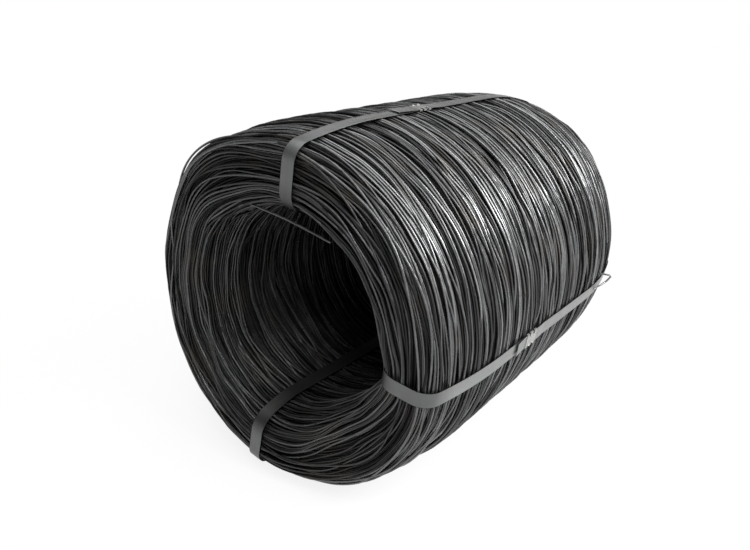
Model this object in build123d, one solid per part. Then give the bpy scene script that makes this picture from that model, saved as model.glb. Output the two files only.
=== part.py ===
from build123d import *
import math
import os

os.makedirs("parts", exist_ok=True)

# Coil of wire rod lying on its side: axis along Y, front end at -Y, floor at Z = 0.
bore_diameter = 460
coil_wall = 175
coil_length = 1010
wire_diameter = 5
strap_width = 32
strap_thickness = 0.8
seal_length = 46
seal_wall = 0.9

# Clearances: what lies on the coil, and what lies inside a folded seal.
seat_gap = 0.3
fit_gap = 0.15

# Rounded ends, from the flat outwards: (radius as a share of the coil's wall, degrees turned),
# first the tight corner and then the long flank that runs into the wall.
lip_arc_shares = ((0.28, 65), (1, 25))
front_arc_shares = ((0.23, 80), (7.3, 10))
rear_arc_shares = ((0.225, 76), (6, 14))
flank_steps = 2
ridges_per_end = 6
ridge_depth_share = 0.6

# Straps: degrees round the axis from the top, where each seal sits along the coil, and how
# far the strap's upper end runs on past its seal.
top_strap_degrees = 9.5
right_strap_degrees = 99.1
bottom_strap_degrees = 193
top_seal_share = -0.078
right_seal_share = -0.127
bottom_seal_share = -0.1
top_tail_share = 1.73
right_tail_share = 1.03
bottom_tail_share = 1.31
tail_lift_share = 4
ramp_share = 0.6
stub_share = 0.2
notch_place_shares = (-0.21, 0.21)
notch_length_share = 0.16
notch_depth_share = 0.13
tab_degrees = 45

# Loose wire ends: the degrees round the axis from the top where each one leaves the coil, and
# how far it turns in from the tangent there. The outer one is bent back into a hook.
inner_end_degrees = -20.5
inner_turn_degrees = 31.5
inner_run_share = 0.49
hook_end_degrees = 91.5
hook_turn_degrees = -55
hook_run_share = 3
hook_bend_degrees = 140
hook_bend_share = 1.7

bore_radius = bore_diameter / 2
outer_radius = bore_radius + coil_wall
half_length = coil_length / 2


def trace(start, heading, moves):
    """Edges from start along heading: each move is (radius, turn) or (run, 0)."""
    edges = []
    spot, way = Vector(start), Vector(heading)
    for size, turn in moves:
        if turn:
            edge = JernArc(spot, way, size, turn)
        else:
            edge = Line(spot, spot + way * size)
        edges.append(edge)
        spot, way = edge @ 1, edge % 1
    return edges


def quarter(radius, arc_shares, side):
    """Tangent arcs from a wall of the coil to the end's flat: the flank, then the corner."""
    moves = [(share * coil_wall, -side * turn) for share, turn in reversed(arc_shares)]
    edges = trace((radius, 0), (0, -1), moves)
    low = edges[-1] @ 1
    return [Pos(0, -half_length - low.Y) * edge for edge in edges]


def end_points(arc_shares):
    """Points of an end at the front, from the bore out: lip flank, ridge crests, outer flank."""
    lip_flank, lip_corner = quarter(bore_radius, lip_arc_shares, -1)
    flank, corner = quarter(outer_radius, arc_shares, 1)
    crown = Wire([lip_corner, Line(lip_corner @ 1, corner @ 1), corner])
    crests = [crown.position_at(step / ridges_per_end) for step in range(ridges_per_end + 1)]
    if crests[0].X > crests[-1].X:
        crests.reverse()
    inner = [lip_flank @ (step / flank_steps) for step in range(flank_steps)]
    outer = [flank @ (step / flank_steps) for step in reversed(range(flank_steps))]
    return inner, crests, outer


front_inner, front_crests, front_outer = end_points(front_arc_shares)
rear_groups = end_points(rear_arc_shares)
rear_inner, rear_crests, rear_outer = [[Vector(spot.X, -spot.Y) for spot in group] for group in rear_groups]


def coil_section(front_middle, rear_middle):
    """The face between bore and outside, with the given points across its two ends."""
    front = front_inner + front_middle + front_outer
    rear = rear_inner + rear_middle + rear_outer
    return make_face(Polyline(*front, *rear[::-1], close=True))


section = coil_section(front_crests, rear_crests)


# wire_coil: the wound wire as one turned solid, its turns showing as ridges on its ends.
def ridged(crests):
    """Crests on the outline with a groove sunk between each pair of them."""
    heart = Vector(bore_radius + coil_wall / 2, 0)
    line = [crests[0]]
    for before, after in zip(crests, crests[1:]):
        middle = (before + after) / 2
        line.append(middle + (heart - middle).normalized() * wire_diameter * ridge_depth_share)
        line.append(after)
    return line


wire_coil = revolve(coil_section(ridged(front_crests), ridged(rear_crests)), Axis.Y)


# Straps: one open band each, round the wall of the coil and closed by a lap in a seal.
under_height = seat_gap + seal_wall + fit_gap
over_height = under_height + strap_thickness + fit_gap
tail_height = over_height + tail_lift_share * strap_thickness
seal_height = over_height + strap_thickness + fit_gap + seal_wall
half_seal = seal_length / 2
ramp = ramp_share * seal_length
stub = stub_share * seal_length


def outside_dip(place):
    """How far the coil's outline has sunk below its outside at a place along it."""
    spots = [front_crests[-1], *front_outer, *rear_outer[::-1], rear_crests[-1]]
    for before, after in zip(spots, spots[1:]):
        if before.Y <= place <= after.Y:
            share = (place - before.Y) / (after.Y - before.Y)
            return outer_radius - before.X - (after.X - before.X) * share


def band_face(path):
    """A strap-thick strip in the section plane, its inner side along (place, height)."""
    inner = [(outer_radius + height, place) for place, height in path]
    outer = [(outer_radius + height + strap_thickness, place) for place, height in path]
    return make_face(Polyline(*inner, *outer[::-1], close=True))


def swung(face, width):
    """A section-plane face turned about the axis and trimmed to a width across it."""
    swing = 2 * math.degrees(math.asin(width / bore_diameter))
    turned = revolve(Rot(0, swing, 0) * face, Axis.Y, -2 * swing)
    return turned & Box(4 * outer_radius, 2 * coil_length, width)


def notches(place, depth_extra):
    """The slots cut through seal and strap edges by the sealing tool."""
    cuts = []
    for side in (1, -1):
        for share in notch_place_shares:
            spot = Pos(outer_radius, place + share * seal_length, side * strap_width / 2)
            depth = 2 * (notch_depth_share * strap_width + depth_extra)
            cuts.append(spot * Box(4 * seal_height, notch_length_share * seal_length, depth))
    return cuts


def strap(place, tail_share):
    """The band round the section, opened at the lap and laid over its own other end."""
    inside = offset(section, seat_gap, kind=Kind.INTERSECTION)
    loop = offset(section, seat_gap + strap_thickness, kind=Kind.INTERSECTION) - inside
    front = place - half_seal - ramp
    rear = place + half_seal + 2 * stub + ramp
    window = Pos(outer_radius, (front + rear) / 2) * Rectangle(coil_wall, rear - front)
    under = [
        (front, seat_gap - outside_dip(front)),
        (place - half_seal - stub, under_height),
        (place + half_seal + stub, under_height),
    ]
    over = [
        (place - half_seal - tail_share * seal_length, tail_height),
        (place - half_seal - stub, over_height),
        (place + half_seal + 2 * stub, over_height),
        (rear, seat_gap - outside_dip(rear)),
    ]
    band = swung((loop - window) + band_face(under) + band_face(over), strap_width)
    for cut in notches(place, 0):
        band -= cut
    return band


def seal(place):
    """A sleeve folded round both strap ends, open underneath, notched and tabbed."""
    inside_width = strap_width + 2 * fit_gap
    middle = Pos(outer_radius + (seat_gap + seal_height) / 2, place)
    height = seal_height - seat_gap
    body = swung(middle * Rectangle(height, seal_length), inside_width + 2 * seal_wall)
    body -= swung(middle * Rectangle(height - 2 * seal_wall, 2 * seal_length), inside_width)
    seam = Box(2 * (under_height - fit_gap), 2 * seal_length, strap_width / 3)
    body -= Pos(outer_radius, place) * seam
    for cut in notches(place, seal_wall + fit_gap):
        body -= cut
    reach = notch_depth_share * strap_width
    for side in (1, -1):
        for share in notch_place_shares:
            hinge_z = side * (strap_width / 2 - reach - seal_wall - fit_gap)
            hinge = Pos(outer_radius + seal_height - seal_wall, place + share * seal_length, hinge_z)
            edge = Align.MIN if side > 0 else Align.MAX
            size = (seal_wall, notch_length_share * seal_length, reach)
            leaf = Box(*size, align=(Align.MIN, Align.CENTER, edge))
            body += hinge * Rot(0, side * tab_degrees, 0) * leaf
    return body


# Loose ends of the same wire: round rod that leaves the coil square to its axis.
def wire_end(spot, degrees, turn_in, moves):
    """A rod rooted in the coil under a spot, turned in from the tangent, then bent."""
    root = spot.X + math.copysign(wire_diameter, bore_radius + coil_wall / 2 - spot.X)
    turn = math.radians(90 - degrees)
    way = turn - math.radians(90 + turn_in)
    start = (root * math.cos(turn), root * math.sin(turn))
    heading = (math.cos(way), math.sin(way))
    plane = Plane(origin=(0, spot.Y, 0), x_dir=(1, 0, 0), z_dir=(0, -1, 0))
    path = Wire([plane * edge for edge in trace(start, heading, moves)])
    return sweep(Plane(origin=path @ 0, z_dir=path % 0) * Circle(wire_diameter / 2), path)


inner_moves = [(inner_run_share * bore_diameter, 0)]
wire_coil += wire_end(front_crests[0], inner_end_degrees, inner_turn_degrees, inner_moves)

hook_run = hook_run_share * wire_diameter
hook_moves = [(hook_run, 0), (hook_bend_share * wire_diameter, -hook_bend_degrees), (hook_run / 2, 0)]
wire_coil += wire_end(rear_outer[0], hook_end_degrees, hook_turn_degrees, hook_moves)

# Everything is lifted so that the coil lies on the floor.
straps = {
    "top": (top_strap_degrees, top_seal_share, top_tail_share),
    "right": (right_strap_degrees, right_seal_share, right_tail_share),
    "bottom": (bottom_strap_degrees, bottom_seal_share, bottom_tail_share),
}
pieces = {"wire_coil": wire_coil}
for name, (degrees, seal_share, tail_share) in straps.items():
    turn = Rot(0, degrees - 90, 0)
    pieces["strap_" + name] = turn * strap(seal_share * coil_length, tail_share)
    pieces["seal_" + name] = turn * seal(seal_share * coil_length)

for name, piece in pieces.items():
    export_step(Pos(0, 0, outer_radius) * piece, "parts/" + name + ".step")
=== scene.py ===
import math

import bpy
import numpy as np
from mathutils import Matrix, Vector


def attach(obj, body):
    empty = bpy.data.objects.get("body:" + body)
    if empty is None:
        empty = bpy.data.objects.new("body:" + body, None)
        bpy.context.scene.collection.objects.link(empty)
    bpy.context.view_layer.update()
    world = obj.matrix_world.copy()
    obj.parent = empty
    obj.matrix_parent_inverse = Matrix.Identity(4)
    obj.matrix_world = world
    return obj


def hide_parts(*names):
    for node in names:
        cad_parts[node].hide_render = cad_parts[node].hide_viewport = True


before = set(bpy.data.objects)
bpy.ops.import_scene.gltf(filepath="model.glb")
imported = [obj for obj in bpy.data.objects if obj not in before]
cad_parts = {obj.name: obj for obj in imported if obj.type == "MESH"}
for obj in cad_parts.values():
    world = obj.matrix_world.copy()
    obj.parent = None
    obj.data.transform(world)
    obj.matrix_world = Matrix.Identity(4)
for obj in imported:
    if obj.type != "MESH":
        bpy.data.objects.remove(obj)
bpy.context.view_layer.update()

# Wound wire: about ten kilometres of annealed steel wire rod in one coil, black with the oxide of
# the annealing pot. The coil is wound in loose crossing turns, so every turn is its own rod here,
# laid on the turned outline of the coil and on the turns that were laid before it.
wire_diameter = 0.005
bore_radius = 0.23
outer_radius = 0.405
half_length = 0.505
wall = outer_radius - bore_radius
stations = 120
turn_angle = np.arange(stations) * 2 * np.pi / stations
dice = np.random.default_rng(41)


def coil_outline(step=0.0005):
    """The coil's section as a closed line walked from the middle of the bore over the front, the
    outside and the rear: straight runs and arcs as (run, degrees turned), the heading summed along
    the line and the place summed along the heading."""
    def corner(tight, tight_degrees, flank, flank_degrees):
        """Tight corner arc and long flank arc, with the room they take across and along the wall."""
        low, high = math.radians(flank_degrees), math.radians(tight_degrees)
        across = tight * math.cos(low) + flank * (1 - math.cos(low))
        along = tight * (1 - math.sin(low)) + flank * math.sin(low)
        return (tight * high, tight_degrees), (flank * low, flank_degrees), across, along

    lip_arc, lip_flank, lip_across, lip_along = corner(0.28 * wall, 65, wall, 25)
    front_arc, front_flank, front_across, front_along = corner(0.23 * wall, 80, 7.3 * wall, 10)
    rear_arc, rear_flank, rear_across, rear_along = corner(0.225 * wall, 76, 6 * wall, 14)
    bore_half = half_length - lip_along
    moves = [(bore_half, 0), lip_flank, lip_arc,
             (wall - lip_across - front_across, 0), front_arc, front_flank,
             (2 * half_length - front_along - rear_along, 0), rear_flank, rear_arc,
             (wall - lip_across - rear_across, 0), lip_arc, lip_flank, (bore_half, 0)]
    runs, turns = np.array(moves).T
    ends = np.concatenate(([0], np.cumsum(runs)))
    headings = np.concatenate(([-90], -90 + np.cumsum(turns)))
    along = np.arange(0, ends[-1], step)
    heading = np.radians(np.interp(along, ends, headings))
    radius = bore_radius + np.cumsum(np.cos(heading)) * step
    place = np.cumsum(np.sin(heading)) * step
    share = along / ends[-1]
    radius -= share * (radius[-1] - bore_radius)
    place -= share * place[-1]
    return along, radius, place, heading, ends


# Marks along the outline: where its runs and arcs begin and end, from the bore round to the bore.
out_along, out_radius, out_place, out_heading, out_ends = coil_outline()
front_start, face_start, face_end, front_end, wall_start, wall_end = out_ends[[1, 3, 4, 5, 6, 7]]
outside_end, rear_face_start, rear_face_end, rear_end, girth = out_ends[[8, 9, 10, 12, 13]]


def bells(angle, marks):
    """Soft bells round the coil, added up. Each has its middle and its width in degrees and its
    height, and dies away with the square of the angle from its middle over its width."""
    total = 0
    for middle, width, reach in marks:
        apart = np.mod(angle - math.radians(middle) + np.pi, 2 * np.pi) - np.pi
        total = total + reach * np.exp(-(apart / math.radians(width)) ** 2)
    return total


def rise_and_fall(along, knots):
    """A share along the outline: none before the first knot, all between the second and the third,
    none after the fourth, and straight slopes between."""
    return np.interp(np.mod(along, girth), knots, (0, 1, 1, 0))


def eased(share):
    """A share from 0 to 1 with soft ends: three times its square less twice its cube."""
    return share ** 2 * (3 - 2 * share)


def lean(along, angle):
    """How far the front end has slumped forwards: two bells, at the upper left and at the foot, full
    over the end and fading on both walls."""
    share = rise_and_fall(along, (front_start, face_start, front_end, front_end + 0.16))
    return eased(share) * bells(angle, ((-40, 15, 0.014), (196, 24, 0.012)))


def pinch(along, angle):
    """How far the rear right has been drawn in by its straps: one bell, growing from the middle of
    the outside to the rear corner and fading over the rear end."""
    share = rise_and_fall(along, (wall_start + 0.28, outside_end, rear_face_end, rear_end))
    return share * bells(angle, ((75, 32, 0.01),))


def swell(along, angle):
    """How far the front stands out of round: two bells, at the upper left and the lower left, full at
    the front corner and fading over the end and along the outside."""
    share = rise_and_fall(along, (face_start, face_end, front_end + 0.08, front_end + 0.3))
    return eased(share) * bells(angle, ((-28, 15, 0.011), (-128, 22, 0.008)))


def slip(along, angle):
    """How far the front lip has moved out from the axis: out at the right, where its strap has drawn
    it, and in at the lower right, where turns have slid into the bore. Both bells are full on the
    lip and fade into the bore and over the end."""
    share = rise_and_fall(along, (front_start - 0.12, front_start + 0.02, face_start, face_end))
    return eased(share) * bells(angle, ((101, 13, 0.017), (147, 27, -0.018)))


def on_outline(along, height, angle):
    """Radius and place of points at a distance along the outline, a height out from it and an angle
    round the coil, with the outward normal there."""
    spot = np.mod(along, girth)
    heading = np.interp(spot, out_along, out_heading)
    normal = np.stack((np.sin(heading), -np.cos(heading)), -1)
    radius = np.interp(spot, out_along, out_radius) + height * normal[..., 0]
    radius = radius - pinch(spot, angle) + swell(spot, angle) + slip(spot, angle)
    place = np.interp(spot, out_along, out_place) + height * normal[..., 1] - lean(spot, angle)
    return radius, place, normal


def waves(count, low, high):
    """Smooth random wandering round the coil: sines of whole numbers of waves from low to high, each
    as tall as one over its number, so that all of them slope alike."""
    number = np.arange(low, high + 1)
    size = dice.normal(0, 1, (count, len(number))) / number
    phase = dice.uniform(0, 2 * np.pi, (count, len(number)))
    angle = number * turn_angle[:, None]
    return (size[:, None, :] * np.cos(angle[None] + phase[:, None, :])).sum(-1)


def looseness(along):
    """How far turns wander at a distance along the outline: most over the front and rear ends, where
    the wire turns back."""
    knots = [0, front_start, front_start + 0.08, front_end, front_end + 0.12,
             outside_end - 0.06, outside_end, rear_end - 0.08, rear_end, girth]
    sizes = [0.007, 0.008, 0.011, 0.0105, 0.0078, 0.0078, 0.0105, 0.011, 0.008, 0.007]
    return np.interp(np.mod(along, girth), knots, sizes)[:, None]


# The under layer covers the whole outline side by side. A pitch is counted in wire diameters.
under_pitch = 1.03
under_wander = 0.0012
under_count = int(girth / (wire_diameter * under_pitch))
under_middle = (np.arange(under_count) + 0.5) * girth / under_count
under_along = under_middle[:, None] + under_wander * waves(under_count, 1, 6)

# Over it lie small groups of turns that were wound together, with a gap after each group. Groups
# side by side wander together, and each group and each turn wanders a little by itself. More groups
# are drawn than fit, and those past the outline's end are dropped.
groups_drawn = 600
group_pitch = 1.02
mean_gap = 0.42 * wire_diameter
members = dice.choice((1, 2, 3, 4, 5), groups_drawn, p=(0.26, 0.3, 0.22, 0.13, 0.09))
room = members * wire_diameter * group_pitch + dice.exponential(mean_gap, groups_drawn)
group_count = int(np.searchsorted(np.cumsum(room), girth))
members, room = members[:group_count], room[:group_count] * girth / room[:group_count].sum()
group_start = np.cumsum(room) - room
group = np.repeat(np.arange(group_count), members)
in_group = np.arange(len(group)) - np.repeat(np.cumsum(members) - members, members)
over_middle = group_start[group] + (in_group + 0.5) * wire_diameter * group_pitch
shared_knots = 40
shared = waves(shared_knots, 1, 7)
knot = over_middle / girth * shared_knots
whole = knot.astype(int)
share = (knot % 1)[:, None]
neighbours = (1 - share) * shared[whole % shared_knots] + share * shared[(whole + 1) % shared_knots]
own = 0.6 * waves(group_count, 2, 14)[group] + 0.2 * waves(len(group), 3, 16)
over_along = over_middle[:, None] + looseness(over_middle) * (0.8 * neighbours + own)

# Last come single stray turns that cross the others at a steeper slope.
stray_count = 90
stray_wander = 1.3
stray_middle = dice.uniform(0, girth, stray_count)
stray_along = stray_middle[:, None] + looseness(stray_middle) * stray_wander * waves(stray_count, 1, 7)
over_order = dice.permutation(len(over_along))
turn_along = np.concatenate((under_along, over_along[over_order], stray_along))
turn_count = len(turn_along)


def smooth_round(values, width):
    """A running mean round the coil, taken twice, which rounds a bend as stiff wire does."""
    reach = np.arange(-width, width + 1)
    for _ in range(2):
        values = np.mean([np.roll(values, shift, -1) for shift in reach], 0)
    return values


def stacked(paths):
    """Height of each turn over the outline's bed: the highest of zero and, at every station, the
    height at which round rod touches each earlier turn, spread a little along the rod."""
    heights = np.zeros_like(paths)
    for turn in range(1, len(paths)):
        gap = np.mod(paths[:turn] - paths[turn] + girth / 2, girth) - girth / 2
        lift = np.sqrt(np.clip(wire_diameter ** 2 - gap ** 2, 0, None))
        touch = np.where(lift > 0, heights[:turn] + lift, 0).max(0)
        peak = np.max([np.roll(touch, shift) for shift in (-1, 0, 1)], 0)
        heights[turn] = np.maximum(smooth_round(peak, 2), touch * 0.9)
    return heights


turn_height = stacked(turn_along)


def envelope(paths, heights, cell=0.006, spread=3, sweep=4):
    """The highest turn near each place of the coil: greatest height per cell of the outline and
    station, widened over its neighbours and smoothed, read back at each turn."""
    cells = int(girth / cell)
    index = (np.mod(paths, girth) / girth * cells).astype(int) % cells
    top = np.zeros((cells, stations))
    np.maximum.at(top, (index, np.broadcast_to(np.arange(stations), index.shape)), heights)
    for axis, reach in ((0, spread), (1, sweep)):
        top = np.max([np.roll(top, shift, axis) for shift in range(-reach, reach + 1)], 0)
    for axis, reach in ((0, spread), (1, sweep)):
        for _ in range(2):
            top = np.mean([np.roll(top, shift, axis) for shift in range(-reach, reach + 1)], 0)
    return top[index, np.arange(stations)]


# The lay is sunk into the outline by most of its own height, so that the top of the turns lies there.
sunk_share = 0.85
sunk = turn_height - sunk_share * envelope(turn_along, turn_height)
turn_height = np.minimum(sunk, 0) - wire_diameter / 2


def dents(along, size=0.0018, count=30):
    """How far the whole lay sinks: slanting waves over the outline and round the coil, 4 to 16 of them
    in a turn, added up, with only their hollows kept and rounded off at the rim."""
    round_number, along_number = dice.integers(4, 17, count), dice.integers(-60, 61, count)
    phase = dice.uniform(0, 2 * np.pi, count)
    total = np.zeros_like(along)
    for number, crossings, start in zip(round_number, along_number, phase):
        total += np.cos(number * turn_angle + crossings * along * 2 * np.pi / girth + start)
    total *= size * math.sqrt(2 / count)
    return (total - np.sqrt(total ** 2 + (size / 2) ** 2)) / 2


deepest_turn = -4.4 * wire_diameter
turn_height = np.maximum(turn_height + dents(turn_along), deepest_turn)


def from_section(radius, place, angle):
    """Points of the coil from radius, place along its axis and angle round it from the top."""
    return np.stack((radius * np.sin(angle), np.broadcast_to(place, radius.shape),
                     outer_radius + radius * np.cos(angle)), -1)


def add_piece(name, points, faces, node_name, material, lay=None):
    """A mesh from an array of points and an array of quads, smooth, riding on the coil."""
    mesh = bpy.data.meshes.new(name)
    points = points.reshape(-1, 3)
    mesh.vertices.add(len(points))
    mesh.vertices.foreach_set("co", points.astype(np.float32).ravel())
    mesh.loops.add(faces.size)
    mesh.loops.foreach_set("vertex_index", faces.astype(np.int32).ravel())
    mesh.polygons.add(len(faces))
    mesh.polygons.foreach_set("loop_start", np.arange(len(faces), dtype=np.int32) * faces.shape[1])
    mesh.polygons.foreach_set("use_smooth", np.ones(len(faces), bool))
    mesh.update(calc_edges=True)
    if lay is not None:
        lay_data = mesh.attributes.new("lay", "FLOAT_VECTOR", "POINT").data
        lay_data.foreach_set("vector", lay.astype(np.float32).ravel())
    mesh.materials.append(material)
    piece = bpy.data.objects.new(name, mesh)
    bpy.context.scene.collection.objects.link(piece)
    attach(piece, "root")
    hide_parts(node_name)
    return piece


def grid_faces(rows, columns, round_rows, round_columns):
    """Quads between neighbours of a grid of points, closed round either way if asked."""
    row = np.arange(rows if round_rows else rows - 1)[:, None]
    column = np.arange(columns if round_columns else columns - 1)[None, :]
    after, beside = (row + 1) % rows, (column + 1) % columns
    corners = (row * columns + column, after * columns + column,
               after * columns + beside, row * columns + beside)
    return np.stack(np.broadcast_arrays(*corners), -1).reshape(-1, 4)


def colour(code):
    """A hex colour as seen on a screen, made linear."""
    parts = np.array([int(code[i:i + 2], 16) for i in (1, 3, 5)]) / 255
    linear = np.where(parts <= 0.04045, parts / 12.92, ((parts + 0.055) / 1.055) ** 2.4)
    return (*linear, 1)


def add_node(tree, kind, settings=None, **links):
    """A shader node with its settings and inputs; an input is a value or another node's output."""
    made = tree.nodes.new(kind)
    for key, value in (settings or {}).items():
        setattr(made, key, value)
    for key, value in links.items():
        key = key.replace("_", " ") if key.replace("_", " ") in made.inputs else key
        socket = made.inputs[int(key[1:])] if key[0] == "n" and key[1:].isdigit() else made.inputs[key]
        if isinstance(value, bpy.types.NodeSocket):
            tree.links.new(value, socket)
        else:
            socket.default_value = value
    return made


def new_material(name):
    """A material and its node tree, with no nodes yet."""
    material = bpy.data.materials.new(name)
    material.use_nodes = True
    material.node_tree.nodes.clear()
    return material, material.node_tree


# Annealed steel wire with a thin hard skin of black iron oxide, which shines half like metal. To the eye
# each rod is near black with a line of light along it, and small kinks break that line into short glints.
# Rubbed rods are greyer and glossier, scuffs lighten them in stretches, partly as wear and partly as painted
# glints, and a faint brown bloom lies over them in patches. A rod's lay is the distance along it, its number
# in the coil and its tone, and the tone also carries painted shade.
scuff_length, kink_length, patch_size = 0.05, 0.028, 0.09
scuff_step, kink_step = 13.7, 7.3
mix_colours = {"data_type": "RGBA"}
oxide_wire, tree = new_material("annealed_wire_black_oxide")
place = add_node(tree, "ShaderNodeTexCoord").outputs["Object"]
lay = add_node(tree, "ShaderNodeAttribute", {"attribute_name": "lay"}).outputs["Vector"]
tone = add_node(tree, "ShaderNodeSeparateXYZ", Vector=lay).outputs["Z"]
scuff_map = add_node(tree, "ShaderNodeMapping", Vector=lay, Scale=(1 / scuff_length, scuff_step, 0.0))
scuffs = add_node(tree, "ShaderNodeTexNoise", Vector=scuff_map.outputs["Vector"], Scale=1.0, Detail=3.0,
                  Roughness=0.65)
patches = add_node(tree, "ShaderNodeTexNoise", Vector=place, Scale=1 / patch_size, Detail=3.0,
                   Roughness=0.6)
toned = add_node(tree, "ShaderNodeMix", mix_colours, Factor=tone,
                 n6=colour("#161617"), n7=colour("#818283"))
# Scuffs lighten a rod in stretches along it: partly wear, partly painted glints along its line of light.
scuff_glint_share = add_node(tree, "ShaderNodeMapRange", Value=scuffs.outputs["Fac"],
                       From_Min=0.5, From_Max=0.72, To_Max=0.5)
scuff_glint_part = add_node(tree, "ShaderNodeMath", {"operation": "MULTIPLY"},
                      n0=scuff_glint_share.outputs["Result"], n1=tone)
scuffed_glinting = add_node(tree, "ShaderNodeMix", mix_colours, Factor=scuff_glint_part.outputs[0],
                   n6=toned.outputs[2], n7=colour("#a0a09d"))
bloom_share = add_node(tree, "ShaderNodeMapRange", Value=patches.outputs["Fac"],
                       From_Min=0.5, From_Max=0.75, To_Max=0.4)
bloomed = add_node(tree, "ShaderNodeMix", mix_colours, Factor=bloom_share.outputs["Result"],
                   n6=scuffed_glinting.outputs[2], n7=colour("#4c463c"))
gloss = add_node(tree, "ShaderNodeMapRange", Value=scuffs.outputs["Fac"],
                 From_Min=0.32, From_Max=0.68, To_Min=0.3, To_Max=0.62)
rubbed = add_node(tree, "ShaderNodeMath", {"operation": "MULTIPLY_ADD"},
                  n0=tone, n1=-0.2, n2=gloss.outputs["Result"])
kink_map = add_node(tree, "ShaderNodeMapping", Vector=lay, Scale=(1 / kink_length, kink_step, 0.0))
kinks = add_node(tree, "ShaderNodeTexNoise", Vector=kink_map.outputs["Vector"], Scale=1.0, Detail=1.0)
kinked = add_node(tree, "ShaderNodeBump", Height=kinks.outputs["Fac"], Strength=1.0, Distance=0.003)
oxide = add_node(tree, "ShaderNodeBsdfPrincipled", Base_Color=bloomed.outputs[2],
                 Roughness=rubbed.outputs[0], Metallic=0.7, Normal=kinked.outputs["Normal"])
add_node(tree, "ShaderNodeOutputMaterial", Surface=oxide.outputs["BSDF"])

# Inside of the coil: the same annealed wire further in, out of reach of the light. It is one closed skin
# four wires deep, dull, painted near black as shade, and shows only as the dark between the turns over it.
grain_size = 0.008
inner_dark, tree = new_material("annealed_wire_inner_turns")
place = add_node(tree, "ShaderNodeTexCoord").outputs["Object"]
grain = add_node(tree, "ShaderNodeTexNoise", Vector=place, Scale=1 / grain_size, Detail=2.0)
deep = add_node(tree, "ShaderNodeMix", mix_colours, Factor=grain.outputs["Fac"],
                n6=colour("#080808"), n7=colour("#141414"))
deep_steel = add_node(tree, "ShaderNodeBsdfPrincipled", Base_Color=deep.outputs[2], Roughness=0.9)
add_node(tree, "ShaderNodeOutputMaterial", Surface=deep_steel.outputs["BSDF"])

core_depth = 4 * wire_diameter
core_rows, core_columns = 96, 160
core_along = np.linspace(0, girth, core_columns, endpoint=False)
core_angle = np.arange(core_rows)[:, None] * 2 * np.pi / core_rows
core_spots = np.broadcast_to(core_along, (core_rows, core_columns))
core_radius, core_place, _ = on_outline(core_spots, -core_depth, core_angle)
core_points = from_section(core_radius, core_place, core_angle)
core_faces = grid_faces(core_rows, core_columns, True, True)
add_piece("coil_inside", core_points, core_faces, "wire_coil", inner_dark)


def rod_rings(paths, heights, every, sides):
    """Round rod about each turn: the section of the coil at each station, with a circle round the
    turn's middle made of the outline's normal and the line along it."""
    angle = turn_angle[::every]
    radius, place_y, normal = on_outline(paths[:, ::every], heights[:, ::every], angle)
    spin = np.arange(sides) * 2 * np.pi / sides
    out, side = np.cos(spin) * wire_diameter / 2, np.sin(spin) * wire_diameter / 2
    ring_radius = radius[..., None] + out * normal[..., :1] - side * normal[..., 1:]
    ring_place = place_y[..., None] + out * normal[..., 1:] + side * normal[..., :1]
    return from_section(ring_radius, ring_place, angle[:, None])


# The turns join into one mesh for each layer and stretch of the outline. The under layer is seen only
# between the others, so its rods are coarser and painted darker as shade. Turns on the outside are rubbed
# brighter, and turns over the ends and in the bore are darker, partly as duller wire and partly as painted
# shade.
under_shade = 0.15
mean_radius = 0.35
turn_tone = dice.beta(0.75, 1.2, turn_count)
# The under layer's rods are painted darker, as shade between the turns over them.
turn_tone[:under_count] *= under_shade
turn_start = dice.integers(0, stations, turn_count) * turn_angle[1]
turn_middle = np.mod(turn_along.mean(1), girth)
# Tone over the ends and in the bore is lowered: partly a duller finish than the rubbed outside, partly
# painted shade.
rubbed_and_shaded_knots = (front_start, face_end, front_end + 0.03, outside_end, rear_face_start, rear_end)
turn_tone *= np.interp(turn_middle, rubbed_and_shaded_knots, (0.42, 0.45, 1, 1, 0.45, 0.42))
outside_half = (front_end + outside_end) / 2
stretches = {"front": (front_start, front_end), "outside": (front_end, outside_half),
             "outside_rear": (outside_half, outside_end), "rear": (outside_end, rear_end),
             "bore_rear": (rear_end, girth), "bore_front": (0, front_start)}
is_under = np.arange(turn_count) < under_count
for layer, chosen in (("under", is_under), ("over", ~is_under)):
    for stretch, (low, high) in stretches.items():
        every, sides = (2, 4) if layer == "under" or "bore" in stretch else (1, 5)
        mine = chosen & (turn_middle >= low) & (turn_middle < high)
        rings = rod_rings(turn_along[mine], turn_height[mine], every, sides)
        count, rows = rings.shape[:2]
        faces = grid_faces(rows, sides, True, True)
        faces = (faces[None] + (np.arange(count) * rows * sides)[:, None, None]).reshape(-1, 4)
        begun, number, shade = (values[mine][:, None, None]
                                for values in (turn_start, np.arange(turn_count), turn_tone))
        walked = np.mod(turn_angle[::every][None, :, None] + begun, 2 * np.pi) * mean_radius
        rod_lay = [np.broadcast_to(values, rings.shape[:3]) for values in (walked, number, shade)]
        add_piece(f"turns_{stretch}_{layer}", rings, faces, "wire_coil", oxide_wire,
                  np.stack(rod_lay, -1))

# Free wire: both ends of the same annealed wire, and one outer turn at the front that has sprung off
# the others. The inner end leans from the bore's lip across the mouth, and the outer end is bent back
# into a hook at the rear right. Each is a round rod along its own path.


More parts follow.
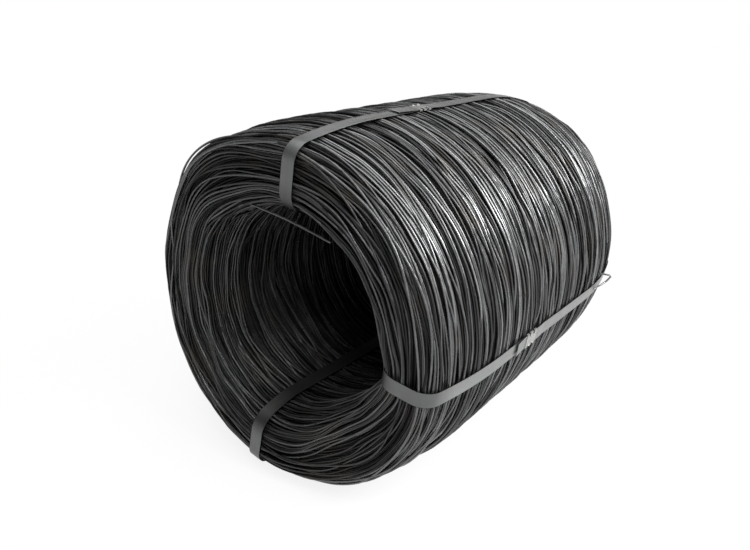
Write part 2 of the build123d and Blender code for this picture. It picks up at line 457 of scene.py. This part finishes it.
def rod(path, tone, number):
    """One free rod along a path of points: a ring of six square to the path at each of them, set by
    the path's heading and the coil's axis, with two quads over each end."""
    sides = 6
    heading = np.gradient(path, axis=0)
    heading /= np.linalg.norm(heading, axis=1)[:, None]
    beside = np.cross(heading, (0, 1, 0))
    beside /= np.linalg.norm(beside, axis=1)[:, None]
    across = np.cross(heading, beside)
    spin = np.arange(sides)[None, :, None] * 2 * np.pi / sides
    ring = np.cos(spin) * beside[:, None] + np.sin(spin) * across[:, None]
    points = path[:, None] + ring * wire_diameter / 2
    faces = grid_faces(len(path), sides, False, True)
    last = (len(path) - 1) * sides
    caps = np.array([[0, 1, 2, 5], [2, 3, 4, 5]])
    walked = np.concatenate(([0], np.cumsum(np.linalg.norm(np.diff(path, axis=0), axis=1))))
    lay = np.stack(np.broadcast_arrays(walked[:, None], number, tone), -1) * np.ones((1, sides, 1))
    return points, np.concatenate((faces, caps, caps[:, ::-1] + last)), lay


def smooth_path(knots, count):
    """A smooth line through knots in even steps: a cubic between each pair, whose slope at a knot is
    half of the way from the knot before it to the knot after it."""
    knots = np.array(knots, float)
    ends = np.concatenate((2 * knots[:1] - knots[1:2], knots, 2 * knots[-1:] - knots[-2:-1]))
    step = np.linspace(0, len(knots) - 1, count)
    index = np.minimum(step.astype(int), len(knots) - 2)
    t = (step - index)[:, None]
    p0, p1, p2, p3 = (ends[index + shift] for shift in range(4))
    square = 2 * p0 - 5 * p1 + 4 * p2 - p3
    cube = 3 * p1 - p0 - 3 * p2 + p3
    return 0.5 * (2 * p1 + (p2 - p0) * t + square * t ** 2 + cube * t ** 3)


# The inner end is nearly straight, with a slight bow, and starts a little inside the lip.
inner_root, inner_way = math.radians(-20.5), math.radians(-11)
inner_radius, inner_place = 0.252, -0.477
inner_rooted, inner_length, inner_rise = 0.012, 0.225, 0.004
inner_points = 40
inner_run = np.linspace(-inner_rooted, inner_length, inner_points)
inner_bow = inner_rise * np.sin(np.clip(inner_run / inner_length, 0, 1) * np.pi)
inner_right = (inner_radius * math.sin(inner_root) + inner_run * math.cos(inner_way)
               + inner_bow * math.sin(-inner_way))
inner_up = (outer_radius + inner_radius * math.cos(inner_root) + inner_run * math.sin(inner_way)
            + inner_bow * math.cos(inner_way))
inner_path = np.stack((inner_right, np.full(inner_points, inner_place), inner_up), -1)

# The hook's knots are its radius, its degrees round the coil and its place along the axis.
hook_points = 60
hook_knots = ((0.3865, 98.4, 0.34), (0.3972, 98.0, 0.34), (0.4078, 97.7, 0.34), (0.4165, 97.6, 0.341),
              (0.4206, 97.85, 0.341), (0.4185, 98.75, 0.34), (0.415, 99.8, 0.336), (0.4115, 100.6, 0.33),
              (0.4062, 101.2, 0.305), (0.4062, 100.5, 0.27))
hook_curve = smooth_path(hook_knots, hook_points)
hook_path = from_section(hook_curve[:, 0], hook_curve[:, 2], np.radians(hook_curve[:, 1]))

# The loose turn comes out of the front corner's lay, stands highest at the upper left and goes back in.
loose_radius_in_lay = 0.386
loose_points = 90
loose_angle = np.radians(np.linspace(-92, 8, loose_points))
on_corner = (out_along > face_end) & (out_along < front_end)
loose_spot = np.interp(loose_radius_in_lay, out_radius[on_corner], out_along[on_corner])
loose_rise = -2.2 * wire_diameter + bells(loose_angle, ((-40, 22, 0.0183),))
loose_radius, loose_place, _ = on_outline(np.full(loose_points, loose_spot), loose_rise, loose_angle)
loose_path = from_section(loose_radius, loose_place, loose_angle)
for name, path, tone in (("wire_end_inner", inner_path, 0.35), ("wire_end_hook", hook_path, 0.9),
                         ("turn_loose_front", loose_path, 0.4)):
    points, faces, lay = rod(path, tone, turn_count + len(name))
    add_piece(name, points, faces, "wire_coil", oxide_wire, lay)

# Straps: three bands of cold-rolled steel strip, 32 mm by 0.8 mm, drawn tight round the wall of
# the coil, over the outside, down the front, back through the bore and up the rear. Each is one
# open band whose ends lap on the outside inside a folded seal.
strap_width = 0.032
strap_thickness = 0.0008
seat = 0.0003
seal_length = 0.046
seal_wall = 0.0009
fit = 0.00015
under_lift = seat + seal_wall + fit
over_lift = under_lift + strap_thickness + fit

# Cold-rolled steel strip with a satin rolled face. To the eye it is light grey metal with fine streaks along
# it and soft blotches, darker towards the front end of the coil and darkest with painted shade in the bore
# and near its lips, and its sheared edges are a thin dark line. Streaks are a third of a metre long and 2.5
# mm wide.
streaks_along, streaks_across = 3.0, 400.0
blotch_size = 0.05
eased_range = {"interpolation_type": "SMOOTHSTEP"}
strap_steel, tree = new_material("cold_rolled_strap_satin")
place = add_node(tree, "ShaderNodeTexCoord").outputs["Object"]
run = add_node(tree, "ShaderNodeTexCoord").outputs["UV"]
streak_map = add_node(tree, "ShaderNodeMapping", Vector=run, Scale=(streaks_along, streaks_across, 1.0))
streaks = add_node(tree, "ShaderNodeTexNoise", Vector=streak_map.outputs["Vector"], Scale=1.0, Detail=3.0)
blotches = add_node(tree, "ShaderNodeTexNoise", Vector=place, Scale=1 / blotch_size, Detail=3.0,
                    Roughness=0.6)
grey = add_node(tree, "ShaderNodeMix", mix_colours, Factor=blotches.outputs["Fac"],
                n6=colour("#8b8c8c"), n7=colour("#a4a5a4"))
streaked = add_node(tree, "ShaderNodeMix", {"data_type": "RGBA", "blend_type": "MULTIPLY"}, Factor=0.3,
                    n6=grey.outputs[2], n7=streaks.outputs["Color"])
satin = add_node(tree, "ShaderNodeMapRange", Value=streaks.outputs["Fac"],
                 From_Min=0.3, From_Max=0.7, To_Min=0.38, To_Max=0.55)
beside = add_node(tree, "ShaderNodeSeparateXYZ", Vector=run).outputs["Y"]
from_middle = add_node(tree, "ShaderNodeMath", {"operation": "ABSOLUTE"}, n0=beside).outputs[0]
sheared = add_node(tree, "ShaderNodeMapRange", Value=from_middle,
                   From_Min=strap_width * 0.475, From_Max=strap_width * 0.497)
along_coil = add_node(tree, "ShaderNodeSeparateXYZ", Vector=place).outputs["Y"]
# Darker towards the front end of the coil.
front_darkening = add_node(tree, "ShaderNodeMapRange", eased_range, Value=along_coil, To_Min=0.7, To_Max=0.0,
                      From_Min=-half_length + 0.01, From_Max=-half_length + 0.09)
front_darkened = add_node(tree, "ShaderNodeMix", mix_colours, Factor=front_darkening.outputs["Result"],
                        n6=streaked.outputs[2], n7=colour("#525353"))
off_axis = add_node(tree, "ShaderNodeVectorMath", {"operation": "MULTIPLY_ADD"},
                    n0=place, n1=(1, 0, 1), n2=(0, 0, -outer_radius))
from_axis = add_node(tree, "ShaderNodeVectorMath", {"operation": "LENGTH"}, n0=off_axis.outputs[0])
# Painted shade: the strap is darkened in the bore and near its lips, where little light reaches.
lip_shade = add_node(tree, "ShaderNodeMapRange", eased_range, Value=from_axis.outputs["Value"],
                    From_Min=bore_radius + 0.02, From_Max=bore_radius + 0.085, To_Min=0.8, To_Max=0.0)
lip_shaded = add_node(tree, "ShaderNodeMix", mix_colours, Factor=lip_shade.outputs["Result"],
                      n6=front_darkened.outputs[2], n7=colour("#2c2d2b"))
edged = add_node(tree, "ShaderNodeMix", mix_colours, Factor=sheared.outputs["Result"],
                 n6=lip_shaded.outputs[2], n7=colour("#1c1c1b"))
dulled = add_node(tree, "ShaderNodeMath", {"operation": "MULTIPLY_ADD"},
                  n0=sheared.outputs["Result"], n1=0.35, n2=satin.outputs["Result"])
strip = add_node(tree, "ShaderNodeBsdfPrincipled", Base_Color=edged.outputs[2],
                 Roughness=dulled.outputs[0], Metallic=0.92)
add_node(tree, "ShaderNodeOutputMaterial", Surface=strip.outputs["BSDF"])

on_wall = (out_along > wall_start) & (out_along < wall_end)
outside_zero = np.interp(0, out_place[on_wall], out_along[on_wall])


def strap_band(seal_place, tail, rows=520):
    """The band's middle line as distance along the outline and height over it. It starts as the
    under end in the seal, runs forwards and round the wall, and ends as the tail over the seal."""
    half, stub, ramp = seal_length / 2, 0.2 * seal_length, 0.6 * seal_length
    length = girth + seal_length + stub + tail
    walked = np.linspace(0, length, rows)
    lap = outside_zero + seal_place + half + stub - walked
    left = length - walked
    start_marks = [0, seal_length + 2 * stub, seal_length + stub + ramp]
    start_lift = np.interp(walked, start_marks, [under_lift, under_lift, seat])
    end_marks = [0, tail - stub, tail + seal_length + 2 * stub, tail + seal_length + 2 * stub + ramp]
    end_lift = np.interp(left, end_marks, [over_lift + 4 * strap_thickness, over_lift, over_lift, seat])
    return lap, np.maximum(start_lift, end_lift)


def strap_surface(degrees, skew, seal_place, tail, across=9):
    """The strip carried along its middle line: a flat loop of points, outer side then inner side,
    across the width, bent round the axis of the coil to lie on its turns. The skew in degrees grows
    along the outside to the rear and goes back through the bore."""
    along, lift = strap_band(seal_place, tail)
    half = strap_width / 2
    sweep = np.concatenate(([-half], np.linspace(-half, half, across - 2) * 0.97, [half]))
    loop_side = np.concatenate((sweep, sweep[::-1]))
    loop_lift = np.concatenate((np.full(across, strap_thickness), np.zeros(across)))
    skew_knots = (0, front_start, outside_zero - 0.1, outside_end, rear_end, girth)
    rear_share = np.interp(np.mod(along, girth), skew_knots, (0.5, 0, 0, 1, 1, 0.5))
    angle = np.radians(degrees + skew * rear_share)
    radius, place_y, normal = on_outline(along, lift, angle)
    ring_radius = radius[:, None] + loop_lift * normal[:, :1]
    ring_place = place_y[:, None] + loop_lift * normal[:, 1:]
    swing = np.arcsin(np.clip(loop_side / ring_radius, -1, 1))
    points = from_section(ring_radius, ring_place, angle[:, None] + swing)
    return points, along, loop_side


# Each strap has its degrees round the coil, its skew, the place of its seal and the length of its tail.
straps = {"top": (9.5, 0.0, -0.0788, 0.0796),
          "right": (99.1, 3.6, -0.1283, 0.0474),
          "bottom": (193.0, 0.0, -0.101, 0.0603)}
for name, (degrees, skew, seal_place, tail) in straps.items():
    points, along, loop_side = strap_surface(degrees, skew, seal_place, tail)
    rows, columns = points.shape[:2]
    spot = np.arange(columns // 2 - 1)
    cap = np.stack((spot, spot + 1, columns - 2 - spot, columns - 1 - spot), -1)
    far_cap = cap[:, ::-1] + (rows - 1) * columns
    faces = np.concatenate((grid_faces(rows, columns, False, True), cap, far_cap))
    band = add_piece(f"strap_band_{name}", points, faces, f"strap_{name}", strap_steel)
    walked = np.broadcast_to(along[:, None], points.shape[:2]).ravel()
    beside = np.broadcast_to(loop_side, points.shape[:2]).ravel()
    uv = np.stack((walked, beside), -1)[faces.ravel()]
    band.data.uv_layers.new(name="strip").data.foreach_set("uv", uv.astype(np.float32).ravel())

# Seals: short sleeves of bright zinced sheet folded round each strap's lap and notched through
# both edges with a sealing tool, so that strap and sleeve lock together. To the eye the zinc is
# lighter than the strap and finely mottled with spangle, 6 mm across, in both colour and gloss.
spangle_size = 0.006
seal_steel, tree = new_material("zinced_seal_bright")
place = add_node(tree, "ShaderNodeTexCoord").outputs["Object"]
spangle = add_node(tree, "ShaderNodeTexNoise", Vector=place, Scale=1 / spangle_size, Detail=2.0)
bright = add_node(tree, "ShaderNodeMix", mix_colours, Factor=spangle.outputs["Fac"],
                  n6=colour("#8f908d"), n7=colour("#adaeab"))
shine = add_node(tree, "ShaderNodeMapRange", Value=spangle.outputs["Fac"], To_Min=0.3, To_Max=0.5)
zinc = add_node(tree, "ShaderNodeBsdfPrincipled", Base_Color=bright.outputs[2],
                Roughness=shine.outputs["Result"], Metallic=0.8)
add_node(tree, "ShaderNodeOutputMaterial", Surface=zinc.outputs["BSDF"])
for name in straps:
    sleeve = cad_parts[f"seal_{name}"]
    sleeve.data.materials.clear()
    sleeve.data.materials.append(seal_steel)

# Stage: a plain white floor that curves up far out all round, soft boxes at the right, above and at
# the front right, and the camera where the photograph was taken from.
floor_reach, floor_bend = 50, 12
flat_rings, bent_rings, floor_spokes = 6, 8, 64
floor_rings = flat_rings + bent_rings
bend_angle = np.linspace(0, np.pi / 2, bent_rings + 1)[1:]
floor_run = np.concatenate((np.linspace(0.01, floor_reach, flat_rings),
                            floor_reach + floor_bend * np.sin(bend_angle)))
floor_rise = np.concatenate((np.zeros(flat_rings), floor_bend - floor_bend * np.cos(bend_angle)))
floor_angle = np.arange(floor_spokes)[:, None] * 2 * np.pi / floor_spokes
floor_points = np.stack(np.broadcast_arrays(
    floor_run * np.cos(floor_angle), floor_run * np.sin(floor_angle), floor_rise), -1)
floor_faces = grid_faces(floor_spokes, floor_rings, True, False)[:, ::-1].tolist()
floor_middle = list(range(0, floor_spokes * floor_rings, floor_rings))
floor_mesh = bpy.data.meshes.new("floor")
floor_mesh.from_pydata(floor_points.reshape(-1, 3).tolist(), [], floor_faces + [floor_middle])
floor = bpy.data.objects.new("floor", floor_mesh)
bpy.context.scene.collection.objects.link(floor)

# Matt white paper. It shows as plain white to the eye and in the metal, a little greyer close to the
# coil, where part of it is lit by the lamps alone and takes the coil's shadow.
floor_white, tree = new_material("floor_white")
matt = add_node(tree, "ShaderNodeBsdfDiffuse", Color=colour("#f4f4f4"))
glow = add_node(tree, "ShaderNodeEmission", Color=(1, 1, 1, 1), Strength=1.0)
ray = add_node(tree, "ShaderNodeLightPath").outputs
seen = ray["Is Camera Ray"]
for other_ray in ("Is Glossy Ray", "Is Transmission Ray"):
    seen = add_node(tree, "ShaderNodeMath", {"operation": "MAXIMUM"}, n0=seen, n1=ray[other_ray]).outputs[0]
spot = add_node(tree, "ShaderNodeTexCoord").outputs["Object"]
away = add_node(tree, "ShaderNodeVectorMath", {"operation": "LENGTH"}, n0=spot).outputs["Value"]
white = add_node(tree, "ShaderNodeMapRange", eased_range, Value=away,
                 From_Min=0.4, From_Max=1.5, To_Min=0.86, To_Max=1.0)
glow_share = add_node(tree, "ShaderNodeMath", {"operation": "MULTIPLY"}, n0=seen, n1=white.outputs["Result"])
paper = add_node(tree, "ShaderNodeMixShader", n0=glow_share.outputs[0],
                 n1=matt.outputs[0], n2=glow.outputs[0])
add_node(tree, "ShaderNodeOutputMaterial", Surface=paper.outputs[0])
floor_mesh.materials.append(floor_white)

world = bpy.data.worlds.new("studio")
bpy.context.scene.world = world
world.use_nodes = True
sky = world.node_tree.nodes["Background"].inputs
sky["Color"].default_value = (1, 1, 1, 1)
sky["Strength"].default_value = 0.14


def add_lamp(name, place_at, aim, width, height, power):
    """A rectangular soft box at a place, turned to face a point."""
    lamp = bpy.data.lights.new(name, "AREA")
    lamp.shape, lamp.size, lamp.size_y, lamp.energy = "RECTANGLE", width, height, power
    holder = bpy.data.objects.new(name, lamp)
    holder.location = place_at
    holder.rotation_euler = (Vector(aim) - Vector(place_at)).to_track_quat("-Z", "Y").to_euler()
    bpy.context.scene.collection.objects.link(holder)


add_lamp("key_right", (2.35, 0.5, 2.15), (0.2, 0, 0.5), 3.2, 1.0, 160)
add_lamp("soft_top", (0.2, -0.3, 3.2), (0.0, 0.0, 0.4), 3.0, 3.0, 77)
add_lamp("fill_front_right", (1.7, -2.2, 3.3), (-0.2, -0.3, 0.3), 1.2, 1.2, 78)

# The camera's yaw, pitch, place and focal length, in pixels of the photograph, fit the coil's outline.
yaw, pitch = math.radians(-36.83), math.radians(20.47)
focal_pixels, photo_width, film_width = 687.3, 750, 36
look = Vector((math.sin(yaw) * math.cos(pitch), math.cos(yaw) * math.cos(pitch), -math.sin(pitch)))
right = Vector((math.cos(yaw), -math.sin(yaw), 0))
camera = bpy.data.objects.new("camera", bpy.data.cameras.new("camera"))
camera.data.lens, camera.data.sensor_width = focal_pixels / photo_width * film_width, film_width
camera.data.clip_end = 300
camera.location = (0.9465, -1.4231, 0.9973)
camera.rotation_euler = Matrix((right, right.cross(look), -look)).transposed().to_euler()
bpy.context.scene.collection.objects.link(camera)
bpy.context.scene.camera = camera
bpy.context.scene.view_settings.view_transform = "Standard"
